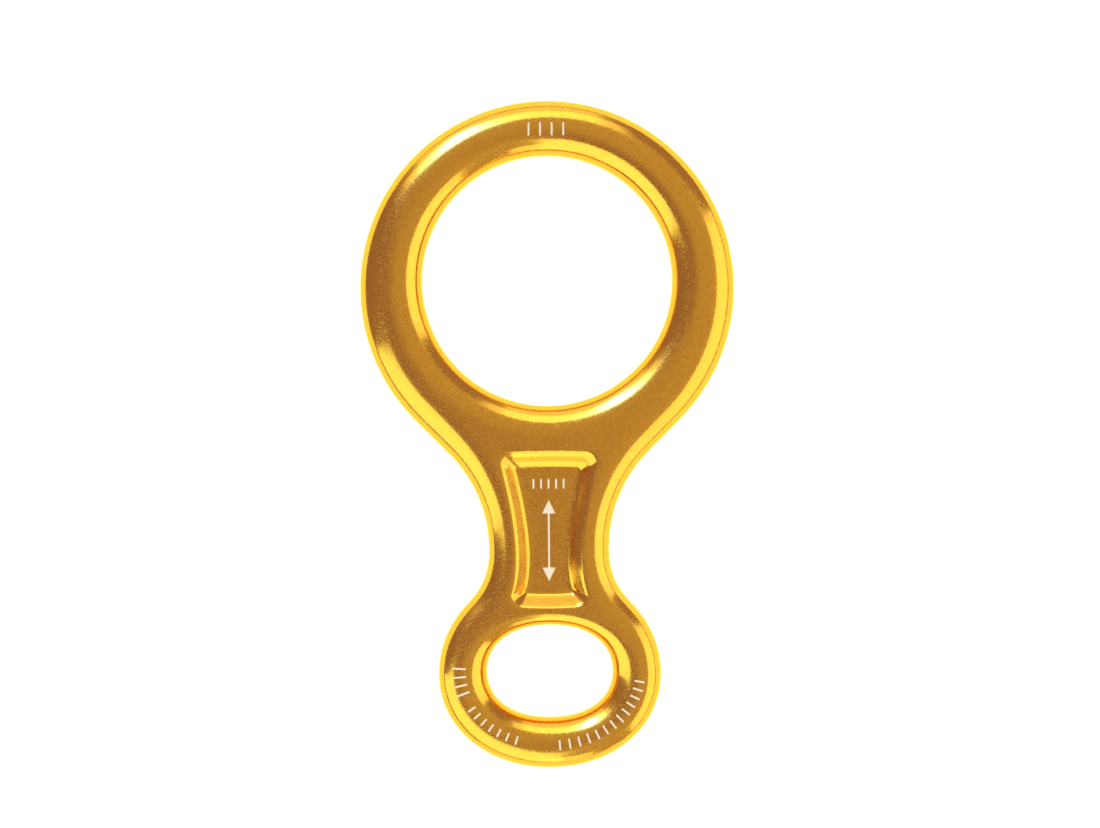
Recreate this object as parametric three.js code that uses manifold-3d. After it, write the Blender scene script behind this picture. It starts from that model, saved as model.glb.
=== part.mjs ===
// Figure-eight descender (belay device) for climbing ropes.
//
// One hot-forged aluminium body: a large ring that the rope is passed through, a small
// ring with an oval eye for the harness connector, and a waisted neck between them with
// a shallow pocket in each face. It has no other pieces and nothing on it moves.
//
// Millimetres. The body lies flat: +Z is its thickness, +Y runs from the oval eye to the
// large ring. The origin is the middle of the body's outline, at its underside.

import * as THREE from 'three';
import { mergeVertices } from 'three/addons/utils/BufferGeometryUtils.js';
import Module from 'manifold-3d';

const wasm = await Module();
wasm.setup();

// Overall size
const LENGTH = 133.2;
const THICKNESS = 11.5;

// Large ring
const RING_RADIUS = 37.4;
const RING_CENTRE_Y = LENGTH / 2 - RING_RADIUS;
const HOLE_RADIUS = 24.9;
const HOLE_CENTRE_Y = RING_CENTRE_Y + 1.4;

// Neck: a straight flank leaves the ring, and two fillets lead into and out of the waist
const FLANK_ANGLE = THREE.MathUtils.degToRad(45);
const NECK_HALF_WIDTH = 12.05;
const UPPER_FILLET_RADIUS = 26.7;
const LOWER_FILLET_RADIUS = 13.2;

// Small ring: an ellipse above its widest point and a superellipse below it
const CLIP_HALF_WIDTH = 22.3;
const CLIP_UPPER_HEIGHT = 20.7;
const CLIP_LOWER_HEIGHT = 18.9;
const CLIP_LOWER_SQUARENESS = 2.08;
const CLIP_CENTRE_Y = CLIP_LOWER_HEIGHT - LENGTH / 2;

// Oval eye: a superellipse
const EYE_HALF_WIDTH = 12.55;
const EYE_HALF_HEIGHT = 9.2;
const EYE_CENTRE_Y = -47.3;
const EYE_SQUARENESS = 2.2;

// Squareness 2 is an ellipse, and more than 2 is squarer
const ELLIPSE = 2;

// Edge rounding, as quarter ellipses: width across the face by depth down the side
const OUTER_ROUND = { width: 4.2, depth: 4.4 };
const HOLE_ROUND = { width: 4.8, depth: 5.0 };
const EYE_ROUND = { width: 3.3, depth: 4.6 };

// Pocket in each face of the neck, measured at its floor
const POCKET_TOP = { y: -7.0, halfWidth: 6.0 };
const POCKET_WAIST = { y: -21.5, halfWidth: 3.7 };
const POCKET_BOTTOM = { y: -31.3, halfWidth: 4.4 };
const POCKET_CORNER = 1.2;
const POCKET_DEPTH = 2.1;
const POCKET_ROUND = { width: 3.6, depth: POCKET_DEPTH };
const WEB_MARGIN = 0.8;

// How finely round stretches are divided
const RING_STEPS = 56;
const FILLET_STEPS = 7;
const CLIP_UPPER_STEPS = 7;
const CLIP_LOWER_STEPS = 24;
const HOLE_STEPS = 72;
const EYE_STEPS = 48;
const POCKET_CURVE_STEPS = 6;
const ROUND_STEPS = 4;

// A cutter runs this far past the face it cuts
const OVERCUT = 0.04;

function superellipsePoints(centreY, radiusX, radiusY, squareness, from, to, steps) {
  const power = ELLIPSE / squareness;
  const points = [];
  for (let step = 0; step <= steps; step += 1) {
    const angle = from + ((to - from) * step) / steps;
    const across = Math.cos(angle);
    const up = Math.sin(angle);
    points.push(new THREE.Vector2(
      radiusX * Math.sign(across) * Math.abs(across) ** power,
      centreY + radiusY * Math.sign(up) * Math.abs(up) ** power,
    ));
  }
  return points;
}

function arcPoints(centreX, centreY, radius, from, to, steps) {
  return superellipsePoints(centreY, radius, radius, ELLIPSE, from, to, steps)
    .map((point) => point.setX(point.x + centreX));
}

// The angle on the small ring's upper ellipse where the waist fillet touches it, found by
// bisection: there the fillet's centre is one fillet radius outside the neck's edge.
function clipTangency() {
  const filletCentre = (angle) => {
    const normal = new THREE.Vector2(
      CLIP_UPPER_HEIGHT * Math.cos(angle),
      CLIP_HALF_WIDTH * Math.sin(angle),
    ).normalize();
    return new THREE.Vector2(
      CLIP_HALF_WIDTH * Math.cos(angle),
      CLIP_CENTRE_Y + CLIP_UPPER_HEIGHT * Math.sin(angle),
    ).addScaledVector(normal, LOWER_FILLET_RADIUS);
  };
  let low = 0;
  let high = Math.PI / 2;
  for (let step = 0; step < 50; step += 1) {
    const middle = (low + high) / 2;
    if (filletCentre(middle).x > NECK_HALF_WIDTH + LOWER_FILLET_RADIUS) low = middle;
    else high = middle;
  }
  return { angle: low, centre: filletCentre(low) };
}

// Right-hand half of the body's outline, from the top of the large ring down to the
// bottom of the small one. Each stretch starts where the one before it ends.
function rightHalfOutline() {
  const upperX = NECK_HALF_WIDTH + UPPER_FILLET_RADIUS;
  const upperY = RING_CENTRE_Y
    - (RING_RADIUS + UPPER_FILLET_RADIUS - upperX * Math.cos(FLANK_ANGLE)) / Math.sin(FLANK_ANGLE);
  const clip = clipTangency();
  const clipNormal = Math.atan2(
    CLIP_HALF_WIDTH * Math.sin(clip.angle),
    CLIP_UPPER_HEIGHT * Math.cos(clip.angle),
  );

  const ring = arcPoints(0, RING_CENTRE_Y, RING_RADIUS, Math.PI / 2, -FLANK_ANGLE, RING_STEPS / 2);
  const upperFillet = arcPoints(
    upperX, upperY, UPPER_FILLET_RADIUS, Math.PI - FLANK_ANGLE, Math.PI, FILLET_STEPS,
  );
  const lowerFillet = arcPoints(
    clip.centre.x, clip.centre.y, LOWER_FILLET_RADIUS, Math.PI, Math.PI + clipNormal, FILLET_STEPS,
  );
  const clipUpper = superellipsePoints(
    CLIP_CENTRE_Y, CLIP_HALF_WIDTH, CLIP_UPPER_HEIGHT, ELLIPSE, clip.angle, 0, CLIP_UPPER_STEPS,
  );
  const clipLower = superellipsePoints(
    CLIP_CENTRE_Y, CLIP_HALF_WIDTH, CLIP_LOWER_HEIGHT, CLIP_LOWER_SQUARENESS,
    0, -Math.PI / 2, CLIP_LOWER_STEPS / 2,
  );
  return [...ring, ...upperFillet, ...lowerFillet, ...clipUpper.slice(1), ...clipLower.slice(1)];
}

function bodyOutline() {
  const right = rightHalfOutline();
  const left = right.slice(1, -1).reverse().map((point) => new THREE.Vector2(-point.x, point.y));
  return new THREE.Shape([...right, ...left]);
}

function holeOutline() {
  return new THREE.Shape(
    arcPoints(0, HOLE_CENTRE_Y, HOLE_RADIUS, 0, 2 * Math.PI, HOLE_STEPS).slice(1),
  );
}

function eyeOutline() {
  return new THREE.Shape(
    superellipsePoints(
      EYE_CENTRE_Y, EYE_HALF_WIDTH, EYE_HALF_HEIGHT, EYE_SQUARENESS, 0, 2 * Math.PI, EYE_STEPS,
    ).slice(1),
  );
}

// Pocket floor: straight top and bottom, sides bowed in like the neck, round corners
function pocketOutline() {
  const { y: top, halfWidth: topX } = POCKET_TOP;
  const { y: bottom, halfWidth: bottomX } = POCKET_BOTTOM;
  const bowX = 2 * POCKET_WAIST.halfWidth - (topX + bottomX) / 2;
  const bowY = 2 * POCKET_WAIST.y - (top + bottom) / 2;
  const shape = new THREE.Shape();
  shape.moveTo(POCKET_CORNER - bottomX, bottom);
  shape.lineTo(bottomX - POCKET_CORNER, bottom);
  shape.quadraticCurveTo(bottomX, bottom, bottomX, bottom + POCKET_CORNER);
  shape.quadraticCurveTo(bowX, bowY, topX, top - POCKET_CORNER);
  shape.quadraticCurveTo(topX, top, topX - POCKET_CORNER, top);
  shape.lineTo(POCKET_CORNER - topX, top);
  shape.quadraticCurveTo(-topX, top, -topX, top - POCKET_CORNER);
  shape.quadraticCurveTo(-bowX, bowY, -bottomX, bottom + POCKET_CORNER);
  shape.quadraticCurveTo(-bottomX, bottom, POCKET_CORNER - bottomX, bottom);
  return shape;
}

// Slab between z = 0 and the body's thickness, with both edges of its outline rounded
function roundedSlab(shape, round) {
  return new THREE.ExtrudeGeometry(shape, {
    depth: THICKNESS - 2 * round.depth,
    bevelThickness: round.depth,
    bevelSize: round.width,
    bevelOffset: -round.width,
    bevelSegments: ROUND_STEPS,
  }).translate(0, 0, round.depth);
}

// Cutter right through the body: it has the opening's own outline in the middle and
// flares towards both faces, so that the edges it leaves are rounded.
function flaredCutter(shape, round) {
  return new THREE.ExtrudeGeometry(shape, {
    depth: THICKNESS - 2 * round.depth,
    bevelThickness: round.depth + OVERCUT,
    bevelSize: -round.width,
    bevelOffset: round.width,
    bevelSegments: ROUND_STEPS,
    curveSegments: POCKET_CURVE_STEPS,
  }).translate(0, 0, round.depth);
}

// Web left between the two pockets. It reaches a little into the neck on all sides.
function pocketWeb() {
  const width = 2 * (POCKET_TOP.halfWidth + WEB_MARGIN);
  const height = POCKET_TOP.y - POCKET_BOTTOM.y + 2 * WEB_MARGIN;
  return new THREE.BoxGeometry(width, height, THICKNESS - 2 * POCKET_DEPTH)
    .translate(0, (POCKET_TOP.y + POCKET_BOTTOM.y) / 2, THICKNESS / 2);
}

function toSolid(geometry) {
  const bare = geometry.clone();
  bare.deleteAttribute('normal');
  bare.deleteAttribute('uv');
  const merged = mergeVertices(bare);
  return new wasm.Manifold(new wasm.Mesh({
    numProp: 3,
    vertProperties: new Float32Array(merged.attributes.position.array),
    triVerts: new Uint32Array(merged.index.array),
  }));
}

function toGeometry(solid) {
  const { vertProperties, triVerts } = solid.getMesh();
  const geometry = new THREE.BufferGeometry();
  geometry.setAttribute('position', new THREE.BufferAttribute(vertProperties, 3));
  geometry.setIndex(new THREE.BufferAttribute(triVerts, 1));
  geometry.computeVertexNormals();
  return geometry;
}

function forgedBody() {
  const solid = toSolid(roundedSlab(bodyOutline(), OUTER_ROUND))
    .subtract(toSolid(flaredCutter(holeOutline(), HOLE_ROUND)))
    .subtract(toSolid(flaredCutter(eyeOutline(), EYE_ROUND)))
    .subtract(toSolid(flaredCutter(pocketOutline(), POCKET_ROUND)))
    .add(toSolid(pocketWeb()));
  const anodisedGold = new THREE.MeshStandardMaterial({
    color: 0xd69a1e,
    roughness: 0.24,
    metalness: 1,
  });
  const mesh = new THREE.Mesh(toGeometry(solid), anodisedGold);
  mesh.name = 'forged_body';
  return mesh;
}

const descender = new THREE.Group();
descender.add(forgedBody());

export default descender;
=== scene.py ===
"""Figure-eight descender: the fine forged body, its gold anodised finish and the studio around it.

The outlines are worked out in millimetres, as complex numbers x + iy, and become metres
when a mesh is made. The body lies flat with its thickness along +Z, its lower face at z = 0
and its large ring towards +Y, exactly where the CAD frame has it.
"""
import math

import bmesh
import bpy
import numpy as np
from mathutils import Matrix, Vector
from mathutils.bvhtree import BVHTree
from mathutils.geometry import delaunay_2d_cdt


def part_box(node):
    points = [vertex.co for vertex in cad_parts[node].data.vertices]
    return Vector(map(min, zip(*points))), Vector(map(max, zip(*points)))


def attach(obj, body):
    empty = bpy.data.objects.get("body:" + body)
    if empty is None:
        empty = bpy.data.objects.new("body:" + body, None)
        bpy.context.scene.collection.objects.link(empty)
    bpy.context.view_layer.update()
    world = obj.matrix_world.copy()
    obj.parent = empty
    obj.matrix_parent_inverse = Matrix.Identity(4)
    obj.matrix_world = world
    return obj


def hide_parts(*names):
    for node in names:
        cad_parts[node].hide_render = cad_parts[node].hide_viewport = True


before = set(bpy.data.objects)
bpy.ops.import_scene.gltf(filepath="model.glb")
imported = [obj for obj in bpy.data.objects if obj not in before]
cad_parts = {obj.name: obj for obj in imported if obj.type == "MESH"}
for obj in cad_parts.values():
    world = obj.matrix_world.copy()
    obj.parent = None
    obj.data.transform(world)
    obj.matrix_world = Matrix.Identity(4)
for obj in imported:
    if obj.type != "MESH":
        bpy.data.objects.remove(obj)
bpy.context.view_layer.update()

MM = 0.001
NODE = "forged_body"

# ---------------------------------------------------------------- sizes, in millimetres

low, high = (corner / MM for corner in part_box(NODE))
HALF_LENGTH = (high.y - low.y) / 2
THICKNESS = high.z - low.z

RING_RADIUS = 37.4
RING_CENTRE = 1j * (HALF_LENGTH - RING_RADIUS)
HOLE_RADIUS = 24.9
HOLE_CENTRE = RING_CENTRE + 1.4j

# The neck, from its narrowest half width: a fillet up to a straight flank, which faces this
# far below level and runs on to the large ring, and a fillet down to the small ring. The
# place where the lower one touches the small ring is found by halving an interval.
FLANK_ANGLE = math.radians(45)
NECK_HALF_WIDTH = 12.05
UPPER_FILLET_RADIUS = 26.7
LOWER_FILLET_RADIUS = 13.2
BISECTIONS = 50

# The small ring's outline is an ellipse above its centre and squarer below it
CLIP_HALF_WIDTH = 22.3
CLIP_UPPER_HEIGHT = 20.7
CLIP_LOWER_HEIGHT = 18.9
CLIP_SQUARENESS = 2.08
CLIP_CENTRE = 1j * (CLIP_LOWER_HEIGHT - HALF_LENGTH)

EYE_HALF_WIDTH = 12.55
EYE_HALF_HEIGHT = 9.2
EYE_CENTRE = -47.3j
EYE_SQUARENESS = 2.2

# Pocket in each face: half width + iy at the top, waist and bottom, then the corner radius.
# Its ends bow out a little. Its wall climbs at one slope between two fillets, and each fillet
# takes a share of the wall's width within these limits.
POCKET_FLOOR = (6.0 - 7.0j, 3.7 - 21.5j, 4.4 - 31.3j, 0.8)
POCKET_RIM = (10.0 - 3.1j, 7.0 - 21.5j, 7.9 - 34.9j, 2.4)
POCKET_END_BOW = 0.15
POCKET_DEPTH = 2.1
POCKET_SLOPE = math.radians(42)
FILLET_SHARE = (0.2, 0.5)

# Edge rounding, as superellipse quarters: width across the face by depth down the side.
# Each is narrower where the next edge is too near to leave the least land between them. The
# hole and the eye may take up to these shares of the metal between them and the outline. The
# widths are then evened out over the last of these lengths.
ROUND_SQUARENESS = 2.8
ROUND_DEPTH = THICKNESS / 2 - 0.3
OUTER_ROUND_WIDTH = 6.2
HOLE_ROUND_WIDTH = 6.0
EYE_ROUND_WIDTH = 5.9
HOLE_SHARE = 0.5
EYE_SHARE = 0.62
LEAST_LAND = 0.3
WIDTH_RELAX = 4.0

# Etched marks: the strokes' half width, how far they stand proud of the body, how thick they
# are, and the steps along them. The bars' rows are (centre, count, pitch, height). The arrow's
# head narrows to its shaft over the barb, a share of the arrow's length. The ticks stand on an
# ellipse round the eye, in rows of (first and last angle in degrees, count, height).
MARK_HALF_WIDTH = 0.18
MARK_PROUD = 0.008
MARK_THICKNESS = 0.06
MARK_STEP = 0.45
BAR_ROWS = ((60.7j, 4, 2.3, 2.6), (-9.9j, 5, 1.5, 1.9))
ARROW_CENTRE = -21.2j
ARROW_HALF_LENGTH = 8.0
ARROW_HEAD_LENGTH = 2.6
ARROW_HEAD_HALF_WIDTH = 1.3
ARROW_TIP_HALF_WIDTH = 0.05
ARROW_BARB = 0.002
TICK_HALF_WIDTH = 18.0
TICK_HALF_HEIGHT = 14.6
TICK_ROWS = ((-8, -84, 13, 2.0), (-112, -150, 7, 1.7), (-163, -183, 4, 2.6))

# The mesh: point spacing along the outlines and how far their curvature is evened out, steps
# along the pocket's ends, sides and corners, rows on each rounding, pocket wall and straight
# side, triangle size on the lands with the share of it kept clear of their edges, and the
# distance at which points are welded
OUTLINE_SPACING = 0.6
OUTLINE_RELAX = 1.2
END_STEPS = 30
SIDE_STEPS = 64
CORNER_STEPS = 10
ROUND_ROWS = 16
WALL_ROWS = 20
SIDE_ROWS = 2
LAND_SPACING = 0.9
CLEAR_SHARE = 0.6
WELD_DISTANCE = 0.002


# ---------------------------------------------------------------- outlines

def superellipse(centre, half_width, half_height, squareness, start, end, steps):
    """Points along a superellipse: squareness 2 is an ellipse, and more is squarer."""
    angle = np.linspace(start, end, steps + 1)
    across, up = np.cos(angle), np.sin(angle)
    power = 2 / squareness
    return (centre + half_width * np.sign(across) * np.abs(across) ** power
            + 1j * half_height * np.sign(up) * np.abs(up) ** power)


def arc(centre, radius, start, end, steps=60):
    """Points along a circle's arc."""
    return superellipse(centre, radius, radius, 2, start, end, steps)


def spaced(points, spacing):
    """The closed line through these points, cut into an even number of equal steps."""
    closed = np.append(points, points[0])
    along = np.concatenate([[0], np.cumsum(np.abs(np.diff(closed)))])
    count = 2 * round(along[-1] / spacing / 2)
    place = np.linspace(0, along[-1], count, endpoint=False)
    return np.interp(place, along, closed.real) + 1j * np.interp(place, along, closed.imag)


def relaxed(values, step, blur):
    """Values at even steps round a loop, evened out over a length of about blur."""
    turns = np.fft.fftfreq(len(values), step)
    return np.fft.ifft(np.fft.fft(values) * np.exp(-2 * (math.pi * turns * blur) ** 2))


def evened(outline):
    """An outline at even steps, with its sudden changes of curvature eased."""
    loop = spaced(outline, OUTLINE_SPACING)
    return relaxed(loop, abs(loop[1] - loop[0]), OUTLINE_RELAX)


def outward(loop):
    """Unit normals that point out of a loop that runs anticlockwise."""
    along = np.roll(loop, -1) - np.roll(loop, 1)
    return -1j * along / np.abs(along)


def clip_fillet():
    """Where the waist fillet touches the small ring's upper ellipse, and its centre."""
    def centre(angle):
        normal = CLIP_UPPER_HEIGHT * math.cos(angle) + 1j * CLIP_HALF_WIDTH * math.sin(angle)
        touch = CLIP_HALF_WIDTH * math.cos(angle) + 1j * CLIP_UPPER_HEIGHT * math.sin(angle)
        return CLIP_CENTRE + touch + LOWER_FILLET_RADIUS * normal / abs(normal)
    small, large = 0, math.pi / 2
    for _ in range(BISECTIONS):
        middle = (small + large) / 2
        if centre(middle).real > NECK_HALF_WIDTH + LOWER_FILLET_RADIUS:
            small = middle
        else:
            large = middle
    return small, centre(small)


def outer_loop():
    """The body's outline, anticlockwise: up its right side and down its left."""
    upper_x = NECK_HALF_WIDTH + UPPER_FILLET_RADIUS
    reach = RING_RADIUS + UPPER_FILLET_RADIUS - upper_x * math.cos(FLANK_ANGLE)
    upper_centre = upper_x + RING_CENTRE - 1j * reach / math.sin(FLANK_ANGLE)
    touch, lower_centre = clip_fillet()
    meets = math.atan2(CLIP_HALF_WIDTH * math.sin(touch), CLIP_UPPER_HEIGHT * math.cos(touch))
    right = np.concatenate([
        superellipse(CLIP_CENTRE, CLIP_HALF_WIDTH, CLIP_LOWER_HEIGHT, CLIP_SQUARENESS,
                     -math.pi / 2, 0, steps=90),
        superellipse(CLIP_CENTRE, CLIP_HALF_WIDTH, CLIP_UPPER_HEIGHT, 2, 0, touch, steps=40)[1:],
        arc(lower_centre, LOWER_FILLET_RADIUS, math.pi + meets, math.pi)[1:],
        arc(upper_centre, UPPER_FILLET_RADIUS, math.pi, math.pi - FLANK_ANGLE),
        arc(RING_CENTRE, RING_RADIUS, -FLANK_ANGLE, math.pi / 2, steps=200),
    ])
    left = -np.conj(right[-2:0:-1])
    return evened(np.concatenate([right, left]))


def hole_loop():
    """The round hole of the large ring."""
    circle = arc(HOLE_CENTRE, HOLE_RADIUS, 0, 2 * math.pi, steps=720)
    return spaced(circle[:-1], OUTLINE_SPACING)


def eye_loop():
    """The oval eye of the small ring."""
    oval = superellipse(EYE_CENTRE, EYE_HALF_WIDTH, EYE_HALF_HEIGHT, EYE_SQUARENESS,
                        0, 2 * math.pi, steps=720)
    return evened(oval[:-1])


def curve_through(start, middle, end, steps=40):
    """A parabola from start to end that passes through middle halfway along."""
    control = 2 * middle - (start + end) / 2
    t = np.linspace(0, 1, steps + 1)
    return (1 - t) ** 2 * start + 2 * t * (1 - t) * control + t ** 2 * end


def pocket_loop(top, waist, bottom, r):
    """A pocket outline with bowed sides and round corners; each place is half width + iy."""
    lower_end = curve_through(r - bottom.real, -1j * POCKET_END_BOW, bottom.real - r, END_STEPS)
    upper_end = curve_through(top.real - r, 1j * POCKET_END_BOW, r - top.real, END_STEPS)
    right = np.concatenate([
        arc(bottom - r + 1j * r, r, -math.pi / 2, 0, CORNER_STEPS),
        curve_through(bottom + 1j * r, waist, top - 1j * r, SIDE_STEPS)[1:-1],
        arc(top - r - 1j * r, r, 0, math.pi / 2, CORNER_STEPS),
    ])
    return np.concatenate([
        lower_end[1:-1] + 1j * bottom.imag,
        right,
        upper_end[1:-1] + 1j * top.imag,
        -np.conj(right[::-1]),
    ])


# ---------------------------------------------------------------- surface

class Surface:
    """Collects patches as vertices in millimetres and faces, and welds them into one mesh."""

    def __init__(self):
        self.vertices, self.faces, self.count = [], [], 0

    def add(self, places, heights, faces):
        """Points at these places and heights, and faces that number them from 0."""
        self.vertices.append(np.column_stack([places.real, places.imag, heights]))
        self.faces += [tuple(self.count + corner for corner in face) for face in faces]
        self.count += len(places)

    def add_rows(self, rows, heights):
        """Quads between closed loops of equal length, one loop to a row."""
        n = rows.shape[1]
        faces = [(k * n + i, k * n + (i + 1) % n, (k + 1) * n + (i + 1) % n, (k + 1) * n + i)
                 for k in range(len(rows) - 1) for i in range(n)]
        self.add(rows.ravel(), heights.ravel(), faces)

    def mirror(self):
        """Adds the other face of the body, upside down below the first."""
        places = np.concatenate(self.vertices)
        self.vertices.append(places * (1, 1, -1) + (0, 0, THICKNESS))
        self.faces += [tuple(self.count + corner for corner in reversed(face))
                       for face in self.faces]
        self.count *= 2

    def to_object(self, name, smooth=True):
        """The patches as one welded object in the scene, with its faces pointing out."""
        mesh = bpy.data.meshes.new(name)
        mesh.from_pydata(np.concatenate(self.vertices) * MM, [], self.faces)
        shape = bmesh.new()
        shape.from_mesh(mesh)
        bmesh.ops.remove_doubles(shape, verts=shape.verts, dist=WELD_DISTANCE * MM)
        bmesh.ops.recalc_face_normals(shape, faces=shape.faces)
        shape.to_mesh(mesh)
        shape.free()
        if smooth:
            mesh.shade_smooth()
        piece = bpy.data.objects.new(name, mesh)
        bpy.context.scene.collection.objects.link(piece)
        return piece


def rounding(loop, inwards, width):
    """Rows of a rounded edge, from the side of the body up on to its face, and their heights.

    The section is a superellipse's quarter, so it flows into the side and into the face.
    """
    turn = np.linspace(0, math.pi / 2, ROUND_ROWS + 1)[:, None]
    across = 1 - np.cos(turn).clip(0) ** (2 / ROUND_SQUARENESS)
    rise = np.sin(turn) ** (2 / ROUND_SQUARENESS)
    rows = loop + inwards * width * across
    heights = THICKNESS - ROUND_DEPTH * (1 - rise) * np.ones(len(loop))
    return rows, heights


def pocket_wall(floor, rim):
    """Rows from the pocket's floor up to its rim: one even slope between two fillets.

    In a fillet the steepness grows as a smooth step, and the climb is the sum of it.
    """
    t = np.linspace(0, 1, WALL_ROWS + 1)[:, None]
    width = ((rim - floor) * np.conj(outward(floor))).real
    fillet = (1 - POCKET_DEPTH / (width * math.tan(POCKET_SLOPE))).clip(*FILLET_SHARE)
    near = np.minimum(t, 1 - t)
    share = (near / fillet).clip(0, 1)
    climb = fillet * (share ** 3 - share ** 4 / 2) + (near - fillet).clip(0)
    climb /= 1 - fillet
    rise = np.where(t < 0.5, climb, 1 - climb)
    return floor + (rim - floor) * t, THICKNESS - POCKET_DEPTH * (1 - rise)


def inside(points, loop):
    """Which points lie inside a closed loop, by counting the edges to their right."""
    a, b = loop[None, :], np.roll(loop, -1)[None, :]
    p = points[:, None]
    spans = (a.imag > p.imag) != (b.imag > p.imag)
    rise = np.where(a.imag == b.imag, 1, b.imag - a.imag)
    crossing = a.real + (p.imag - a.imag) * (b.real - a.real) / rise
    return np.count_nonzero(spans & (p.real < crossing), axis=1) % 2 == 1


def distance(points, loop):
    """How far each point is from the nearest point of a loop."""
    return np.abs(points[:, None] - loop[None, :]).min(axis=1)


def round_width(loop, widest, *rooms):
    """How wide the rounding is at each point of a loop: its full width, or the room it has.

    Each point first takes the least width found near it, so that the width can then be
    evened out without growing past its room.
    """
    step = abs(loop[1] - loop[0])
    width = np.minimum(widest, np.min(rooms, axis=0) - LEAST_LAND)
    reach = round(2 * WIDTH_RELAX / step)
    least = np.min([np.roll(width, shift) for shift in range(-reach, reach + 1)], axis=0)
    return relaxed(least, step, WIDTH_RELAX).real


def flat_patch(surface, boundary, gaps, height):
    """A level patch inside a boundary loop and outside the gap loops, as even triangles."""
    lines = [boundary, *gaps]
    row_spacing = LAND_SPACING * math.sqrt(3) / 2
    across = np.arange(boundary.real.min(), boundary.real.max(), LAND_SPACING)
    up = np.arange(boundary.imag.min(), boundary.imag.max(), row_spacing)
    grid = across[None, :] + 1j * up[:, None]
    grid[1::2] += LAND_SPACING / 2
    grid = grid.ravel()
    grid = grid[inside(grid, boundary)]
    for gap in gaps:
        grid = grid[~inside(grid, gap)]
    for line in lines:
        grid = grid[distance(grid, line) > CLEAR_SHARE * LAND_SPACING]
    places = np.concatenate([*lines, grid])
    edges, first = [], 0
    for line in lines:
        edges += [(first + i, first + (i + 1) % len(line)) for i in range(len(line))]
        first += len(line)
    flat = [Vector((place.real, place.imag)) for place in places]
    # Output 1 is the triangles inside the lines
    corners, _, faces, *_ = delaunay_2d_cdt(flat, edges, [], 1, 1e-6, False)
    corners = np.array([corner.x + 1j * corner.y for corner in corners])
    faces = np.array(faces)
    middles = corners[faces].mean(axis=1)
    kept = inside(middles, boundary)
    for gap in gaps:
        kept &= ~inside(middles, gap)
    surface.add(corners, np.full(len(corners), height), faces[kept].tolist())


def forged_body():
    """The body: roundings, pocket and lands of the upper face, the same below, and the sides."""
    outer, hole, eye = outer_loop(), hole_loop(), eye_loop()
    floor, rim = pocket_loop(*POCKET_FLOOR), pocket_loop(*POCKET_RIM)

    hole_width = round_width(hole, HOLE_ROUND_WIDTH, distance(hole, outer) * HOLE_SHARE,
                             distance(hole, rim))
    hole_rows, hole_heights = rounding(hole, outward(hole), hole_width)
    eye_width = round_width(eye, EYE_ROUND_WIDTH, distance(eye, outer) * EYE_SHARE,
                            distance(eye, rim))
    eye_rows, eye_heights = rounding(eye, outward(eye), eye_width)
    outer_width = round_width(outer, OUTER_ROUND_WIDTH, distance(outer, hole_rows[-1]),
                              distance(outer, eye_rows[-1]), distance(outer, rim))
    outer_rows, outer_heights = rounding(outer, -outward(outer), outer_width)
    pocket_rows, pocket_heights = pocket_wall(floor, rim)

    surface = Surface()
    for rows, heights in ((outer_rows, outer_heights), (hole_rows, hole_heights),
                          (eye_rows, eye_heights), (pocket_rows, pocket_heights)):
        surface.add_rows(rows, heights)
    gaps = [hole_rows[-1], eye_rows[-1], pocket_rows[-1]]
    flat_patch(surface, outer_rows[-1], gaps, THICKNESS)
    flat_patch(surface, floor, [], THICKNESS - POCKET_DEPTH)
    surface.mirror()
    side = np.linspace(THICKNESS - ROUND_DEPTH, ROUND_DEPTH, SIDE_ROWS + 1)[:, None]
    for loop in (outer, hole, eye):
        surface.add_rows(np.tile(loop, (SIDE_ROWS + 1, 1)), side * np.ones(len(loop)))
    return surface.to_object("descender_body")


# ---------------------------------------------------------------- etched marks

def heights_on(body, points):
    """The height of the body's upper face under each point, in millimetres."""
    tree = BVHTree.FromPolygons([v.co for v in body.data.vertices],
                                [tuple(face.vertices) for face in body.data.polygons])
    start = 2 * THICKNESS * MM
    down = Vector((0, 0, -1))
    return np.array([tree.ray_cast(Vector((p.real * MM, p.imag * MM, start)), down)[0].z
                     for p in points]) / MM


def ribbon(start, end, half_widths):
    """The two sides of a straight stroke; half_widths gives (share of its length, half width)."""
    along = (end - start) / abs(end - start)
    steps = max(2, math.ceil(abs(end - start) / MARK_STEP))
    shares = sorted({*np.linspace(0, 1, steps + 1).round(6), *(share for share, _ in half_widths)})
    places, widths = zip(*half_widths)
    shares = np.array(shares)
    middle = start + (end - start) * shares
    reach = 1j * along * np.interp(shares, places, widths)
    return middle + reach, middle - reach


def load_arrow(centre, half_length):
    """A double-headed arrow along Y, as one stroke that widens and narrows."""
    head = ARROW_HEAD_LENGTH / (2 * half_length)
    profile = [(0, ARROW_TIP_HALF_WIDTH), (head, ARROW_HEAD_HALF_WIDTH),
               (head + ARROW_BARB, MARK_HALF_WIDTH)]
    mirrored = [(1 - share, half_width) for share, half_width in reversed(profile)]
    return ribbon(centre - 1j * half_length, centre + 1j * half_length, profile + mirrored)


def bar(start, end):
    """A straight stroke of even width."""
    return ribbon(start, end, [(0, MARK_HALF_WIDTH), (1, MARK_HALF_WIDTH)])


def row_of_bars(centre, count, pitch, height):
    """Upright bars side by side along X."""
    places = centre + pitch * (np.arange(count) - (count - 1) / 2)
    return [bar(place - 0.5j * height, place + 0.5j * height) for place in places]


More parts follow.
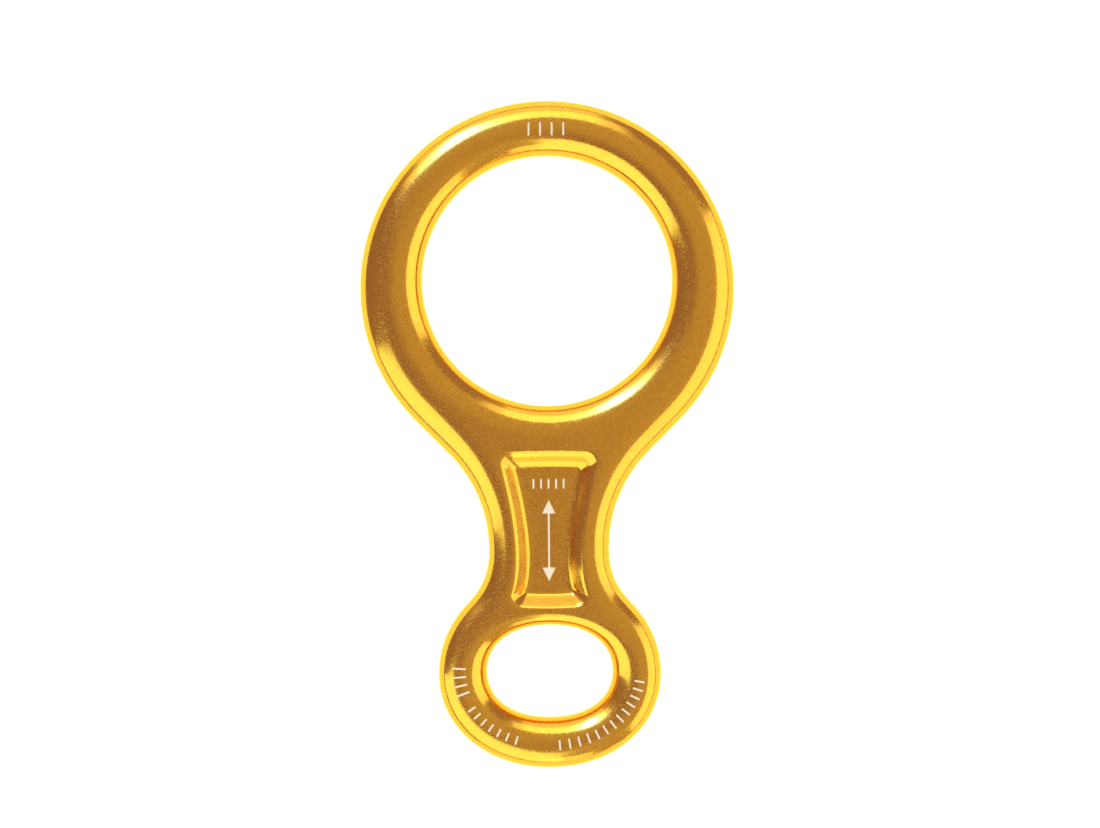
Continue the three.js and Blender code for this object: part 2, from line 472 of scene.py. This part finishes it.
def ticks_round_eye(first, last, count, height):
    """Short bars square to the small ring's middle line, at even angles in degrees."""
    strokes = []
    for angle in np.radians(np.linspace(first, last, count)):
        across = TICK_HALF_WIDTH * math.cos(angle)
        up = TICK_HALF_HEIGHT * math.sin(angle)
        normal = across / TICK_HALF_WIDTH ** 2 + 1j * up / TICK_HALF_HEIGHT ** 2
        normal *= height / 2 / abs(normal)
        place = EYE_CENTRE + across + 1j * up
        strokes.append(bar(place - normal, place + normal))
    return strokes


def etched_marks(body):
    """Generic marks where the maker etches its own: tallies, ticks and a load arrow, no letters."""
    strokes = [stroke for row in BAR_ROWS for stroke in row_of_bars(*row)]
    strokes.append(load_arrow(ARROW_CENTRE, ARROW_HALF_LENGTH))
    strokes += [stroke for row in TICK_ROWS for stroke in ticks_round_eye(*row)]
    surface = Surface()
    for left, right in strokes:
        # Its points are the left and right side on top, then the same two sides below
        n = len(left)
        top = heights_on(body, [*left, *right]) + MARK_PROUD
        places = np.concatenate([left, right, left, right])
        heights = np.concatenate([top, top - MARK_THICKNESS])
        faces = [(0, n, 3 * n, 2 * n), (n - 1, 2 * n - 1, 4 * n - 1, 3 * n - 1)]
        for i in range(n - 1):
            faces += [(i, i + 1, n + i + 1, n + i),
                      (2 * n + i, 2 * n + i + 1, 3 * n + i + 1, 3 * n + i),
                      (i, i + 1, 2 * n + i + 1, 2 * n + i),
                      (n + i, n + i + 1, 3 * n + i + 1, 3 * n + i)]
        surface.add(places, heights, faces)
    return surface.to_object("etched_marks", smooth=False)


# ---------------------------------------------------------------- materials

# Noise sizes and bump heights are in millimetres. A span is the part of the noise's range that
# is used, and roughness and colour run between their two values across it.
DEEP_GOLD = (0.81, 0.345, 0.033)
BRIGHT_GOLD = (0.89, 0.385, 0.039)
GOLD_EDGE_TINT = (1, 0.88, 0.45, 1)
GOLD_COAT = 0.06
GOLD_COAT_ROUGHNESS = 0.08
MOTTLE_SIZE = 0.9
MOTTLE_SPAN = (0.36, 0.64)
GRAIN_SIZE = 0.28
GRAIN_SPAN = (0.46, 0.71)
GRAIN_ROUGHNESS = (0.11, 0.30)
GRAIN_BUMP = 0.0022
RIPPLE_SIZE = 7.0
RIPPLE_BUMP = 0.030

DEEP_ETCHING = (0.84, 0.48, 0.23)
PALE_ETCHING = (0.90, 0.55, 0.30)
ETCHING_SIZE = 0.12
ETCHING_COLOUR_SPAN = (0.35, 0.65)
ETCHING_ROUGHNESS_SPAN = (0.3, 0.7)
ETCHING_ROUGHNESS = (0.42, 0.60)
ETCHING_BUMP = 0.004

TABLE_COLOUR = (0.20, 0.20, 0.20, 1)
TABLE_ROUGHNESS = 0.9
TABLE_SPECULAR = 0.2
TABLE_GLOW = (0.76, 1, 0.76, 1)
TABLE_GLOW_STRENGTH = 1.45


def new_material(name):
    """A material, its nodes and its shader."""
    material = bpy.data.materials.new(name)
    material.use_nodes = True
    return material, material.node_tree, material.node_tree.nodes["Principled BSDF"]


def noise(tree, size, detail, rough=0.5):
    """Noise over the object's own coordinates, with features of about size millimetres."""
    place = tree.nodes.new("ShaderNodeTexCoord")
    node = tree.nodes.new("ShaderNodeTexNoise")
    node.inputs["Scale"].default_value = 1 / (size * MM)
    node.inputs["Detail"].default_value = detail
    node.inputs["Roughness"].default_value = rough
    tree.links.new(place.outputs["Object"], node.inputs["Vector"])
    return node.outputs["Fac"]


def remap(tree, value, low_in, high_in, low_out, high_out, smooth=False):
    """The value stretched from one range on to another, and held at its ends."""
    node = tree.nodes.new("ShaderNodeMapRange")
    node.interpolation_type = "SMOOTHSTEP" if smooth else "LINEAR"
    node.inputs["From Min"].default_value = low_in
    node.inputs["From Max"].default_value = high_in
    node.inputs["To Min"].default_value = low_out
    node.inputs["To Max"].default_value = high_out
    tree.links.new(value, node.inputs["Value"])
    return node.outputs["Result"]


def bump(tree, height, rise, under=None):
    """A bump whose height of 0 to 1 stands for rise millimetres."""
    node = tree.nodes.new("ShaderNodeBump")
    node.inputs["Strength"].default_value = 1
    node.inputs["Distance"].default_value = rise * MM
    tree.links.new(height, node.inputs["Height"])
    if under:
        tree.links.new(under, node.inputs["Normal"])
    return node.outputs["Normal"]


def colour_mix(tree, share, first, second):
    """The first colour where the share is 0, turning into the second where it is 1."""
    node = tree.nodes.new("ShaderNodeMix")
    node.data_type = "RGBA"
    node.inputs["A"].default_value = (*first, 1)
    node.inputs["B"].default_value = (*second, 1)
    tree.links.new(share, node.inputs["Factor"])
    return node.outputs["Result"]


def anodised_gold():
    """Polished forging under clear gold anodising: mottle and grain over slow ripples."""
    material, tree, shader = new_material("anodised_gold")
    shader.inputs["Metallic"].default_value = 1
    shader.inputs["Specular Tint"].default_value = GOLD_EDGE_TINT
    shader.inputs["Coat Weight"].default_value = GOLD_COAT
    shader.inputs["Coat Roughness"].default_value = GOLD_COAT_ROUGHNESS
    grain = noise(tree, GRAIN_SIZE, detail=2)
    ripple = noise(tree, RIPPLE_SIZE, detail=1)
    mottle = noise(tree, MOTTLE_SIZE, detail=4, rough=0.75)
    share = remap(tree, mottle, *MOTTLE_SPAN, 0, 1)
    colour = colour_mix(tree, share, DEEP_GOLD, BRIGHT_GOLD)
    roughness = remap(tree, grain, *GRAIN_SPAN, *GRAIN_ROUGHNESS)
    slow = bump(tree, ripple, RIPPLE_BUMP)
    tree.links.new(colour, shader.inputs["Base Color"])
    tree.links.new(roughness, shader.inputs["Roughness"])
    tree.links.new(bump(tree, grain, GRAIN_BUMP, under=slow), shader.inputs["Normal"])
    return material


def pale_etching():
    """Laser etching: matt, pale peach and slightly mottled."""
    material, tree, shader = new_material("pale_etching")
    fine = noise(tree, ETCHING_SIZE, detail=2)
    share = remap(tree, fine, *ETCHING_COLOUR_SPAN, 0, 1)
    colour = colour_mix(tree, share, DEEP_ETCHING, PALE_ETCHING)
    roughness = remap(tree, fine, *ETCHING_ROUGHNESS_SPAN, *ETCHING_ROUGHNESS)
    tree.links.new(colour, shader.inputs["Base Color"])
    tree.links.new(roughness, shader.inputs["Roughness"])
    tree.links.new(bump(tree, fine, ETCHING_BUMP), shader.inputs["Normal"])
    return material


def light_table():
    """A sheet lit from below, in pale green so that the metal mirrors a clear yellow.

    It is bright enough in every channel to show as plain white itself.
    """
    material, _, shader = new_material("light_table")
    shader.inputs["Base Color"].default_value = TABLE_COLOUR
    shader.inputs["Roughness"].default_value = TABLE_ROUGHNESS
    shader.inputs["Specular IOR Level"].default_value = TABLE_SPECULAR
    shader.inputs["Emission Color"].default_value = TABLE_GLOW
    shader.inputs["Emission Strength"].default_value = TABLE_GLOW_STRENGTH
    return material


# ---------------------------------------------------------------- studio

# The camera looks straight down. Its lens and sensor are in millimetres, and the width of its
# view at the object, its aim and the floor are in metres.
CAMERA_LENS = 150
SENSOR = 36
VIEW_WIDTH = 0.220
CAMERA_ROLL = math.radians(-0.43)
CAMERA_AIM = Vector((0.0004, 0.0040, THICKNESS / 2 * MM))
FLOOR_HALF_WIDTH = 2.5

# The lamps stand round the middle of the large ring's upper face as upright panels. Each has its
# distance in metres, the azimuths that it spans, anticlockwise from +X, the angles from overhead
# that it spans, both in degrees, and its radiance in red, green and blue. They are tinted so that
# a highlight on the gold turns yellow before it turns white.
LAMP_TARGET = Vector((0, RING_CENTRE.imag * MM, THICKNESS * MM))
LAMPS = {
    "right": (0.6, (-50, 26), (25, 82), (1.00, 1.50, 1.45)),
    "back": (0.6, (64, 142), (23, 53), (0.70, 0.95, 0.95)),
    "back_low": (0.6, (72, 136), (23, 84), (0.60, 0.90, 0.85)),
    "back_glow": (0.6, (104, 136), (18, 66), (0.4, 1.5, 3.5), "ELLIPSE"),
    "back_core": (0.6, (110, 128), (22, 58), (0.5, 3.0, 24.0), "ELLIPSE"),
    "left": (0.22, (198, 273), (15, 82), (1.10, 1.95, 1.80)),
    "left_low": (0.6, (273, 286), (47, 82), (0.95, 1.25, 1.20)),
    "front_low": (0.6, (238, 300), (82, 88), (0.85, 1.10, 0.60)),
}

# The room, as the metal mirrors it, by radiance. Its dark side has its middle at this azimuth,
# fades out between these angles to either side of it, and comes in between these angles from
# overhead, all in degrees. Its dark parts are tinted.
BRIGHT_ROOM = 0.59
DARK_ROOM = 0.36
DARK_SIDE = 205
DARK_HALF_ANGLE = (52, 72)
DARK_FROM_OVERHEAD = (0.1, 1.3)
SHADE_TINT = (1, 0.82, 1.4)

# A darker corner: azimuths, angles from overhead, how soft the edges of each are, and radiance
DARK_CORNER = ((22, 66), (38, 95), 6, 8, -0.18)


def studio_floor():
    """The light table that the object lies on."""
    mesh = bpy.data.meshes.new("studio_floor")
    half = FLOOR_HALF_WIDTH
    corners = [(-half, -half, 0), (half, -half, 0), (half, half, 0), (-half, half, 0)]
    mesh.from_pydata(corners, [], [(0, 1, 2, 3)])
    mesh.materials.append(light_table())
    floor = bpy.data.objects.new("studio_floor", mesh)
    bpy.context.scene.collection.objects.link(floor)


def softbox(name, distance_away, azimuths, zeniths, radiance, shape="RECTANGLE"):
    """An upright lamp panel that faces the ring and spans these angles as seen from it.

    A flat lamp's power is pi times its radiance times its area.
    """
    start, end = (math.radians(angle) for angle in azimuths)
    top, bottom = (distance_away / math.tan(math.radians(angle)) for angle in zeniths)
    light = bpy.data.lights.new(name, "AREA")
    light.shape = shape
    light.size = 2 * distance_away * math.tan((end - start) / 2)
    light.size_y = top - bottom
    area = light.size * light.size_y * (math.pi / 4 if shape == "ELLIPSE" else 1)
    light.color = [part / max(radiance) for part in radiance]
    light.energy = max(radiance) * math.pi * area
    lamp = bpy.data.objects.new(name, light)
    bpy.context.scene.collection.objects.link(lamp)
    middle = (start + end) / 2
    away = Vector((math.cos(middle), math.sin(middle), 0))
    lamp.location = LAMP_TARGET + away * distance_away + Vector((0, 0, (top + bottom) / 2))
    lamp.rotation_euler = away.to_track_quat("Z", "Y").to_euler()
    lamp.visible_camera = False


def maths(tree, operation, first, second=None):
    """One step of arithmetic on numbers or on what other nodes give."""
    node = tree.nodes.new("ShaderNodeMath")
    node.operation = operation
    for socket, value in zip(node.inputs, (first, second)):
        if isinstance(value, (int, float)):
            socket.default_value = value
        elif value is not None:
            tree.links.new(value, socket)
    return node.outputs["Value"]


def band(tree, angle, limits, soft):
    """One between two angles and zero outside them, with edges this soft to either side."""
    start, end = limits
    rising = remap(tree, angle, start - soft, start + soft, 0, 1, smooth=True)
    falling = remap(tree, angle, end - soft, end + soft, 1, 0, smooth=True)
    return maths(tree, "MULTIPLY", rising, falling)


def panel(tree, azimuth, zenith, azimuths, zeniths, azimuth_soft, zenith_soft, radiance):
    """A soft-edged patch of the room that adds this radiance, or takes it away."""
    across = band(tree, azimuth, azimuths, azimuth_soft)
    down = band(tree, zenith, zeniths, zenith_soft)
    return maths(tree, "MULTIPLY", maths(tree, "MULTIPLY", across, down), radiance)


def surroundings():
    """The room behind the lamps, plain and darker on one side; the camera sees plain white."""
    world = bpy.data.worlds.new("studio")
    bpy.context.scene.world = world
    world.use_nodes = True
    tree = world.node_tree
    place = tree.nodes.new("ShaderNodeTexCoord")
    split = tree.nodes.new("ShaderNodeSeparateXYZ")
    tree.links.new(place.outputs["Generated"], split.inputs["Vector"])
    x, y, z = split.outputs
    azimuth = maths(tree, "DEGREES", maths(tree, "ARCTAN2", y, x))
    zenith = maths(tree, "DEGREES", maths(tree, "ARCCOSINE", z))

    dark_side = math.radians(DARK_SIDE)
    towards = maths(tree, "ADD", maths(tree, "MULTIPLY", x, math.cos(dark_side)),
                    maths(tree, "MULTIPLY", y, math.sin(dark_side)))
    level_part = maths(tree, "SQRT", maths(tree, "SUBTRACT", 1, maths(tree, "MULTIPLY", z, z)))
    cosine = maths(tree, "DIVIDE", towards, level_part)
    off_side = maths(tree, "DEGREES", maths(tree, "ARCCOSINE", cosine))
    near_side = remap(tree, off_side, *DARK_HALF_ANGLE, 1, 0, smooth=True)
    off_overhead = remap(tree, zenith, *DARK_FROM_OVERHEAD, 0, 1, smooth=True)
    shade = maths(tree, "MULTIPLY", near_side, off_overhead)
    plain = remap(tree, shade, 0, 1, BRIGHT_ROOM, DARK_ROOM)
    strength = maths(tree, "ADD", plain, panel(tree, azimuth, zenith, *DARK_CORNER))
    brightness = remap(tree, strength, DARK_ROOM, BRIGHT_ROOM, 0, 1)

    room = tree.nodes["Background"]
    tree.links.new(colour_mix(tree, brightness, SHADE_TINT, (1, 1, 1)), room.inputs["Color"])
    tree.links.new(strength, room.inputs["Strength"])
    backdrop = tree.nodes.new("ShaderNodeBackground")
    backdrop.inputs["Color"].default_value = (1, 1, 1, 1)
    seen = tree.nodes.new("ShaderNodeLightPath")
    choice = tree.nodes.new("ShaderNodeMixShader")
    tree.links.new(seen.outputs["Is Camera Ray"], choice.inputs["Fac"])
    tree.links.new(room.outputs["Background"], choice.inputs[1])
    tree.links.new(backdrop.outputs["Background"], choice.inputs[2])
    tree.links.new(choice.outputs["Shader"], tree.nodes["World Output"].inputs["Surface"])


def camera():
    """The camera over the object, with no shift and no depth of field."""
    data = bpy.data.cameras.new("camera")
    data.lens = CAMERA_LENS
    data.sensor_width = SENSOR
    eye = bpy.data.objects.new("camera", data)
    bpy.context.scene.collection.objects.link(eye)
    eye.location = CAMERA_AIM + Vector((0, 0, VIEW_WIDTH * CAMERA_LENS / SENSOR))
    eye.rotation_euler = (0, 0, CAMERA_ROLL)
    bpy.context.scene.camera = eye


# ---------------------------------------------------------------- scene

bpy.context.scene.view_settings.view_transform = "Standard"
camera()
studio_floor()
surroundings()
for lamp, settings in LAMPS.items():
    softbox(lamp, *settings)

body = forged_body()
body.data.materials.append(anodised_gold())
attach(body, "root")
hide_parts(NODE)

marks = etched_marks(body)
marks.data.materials.append(pale_etching())
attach(marks, "root")
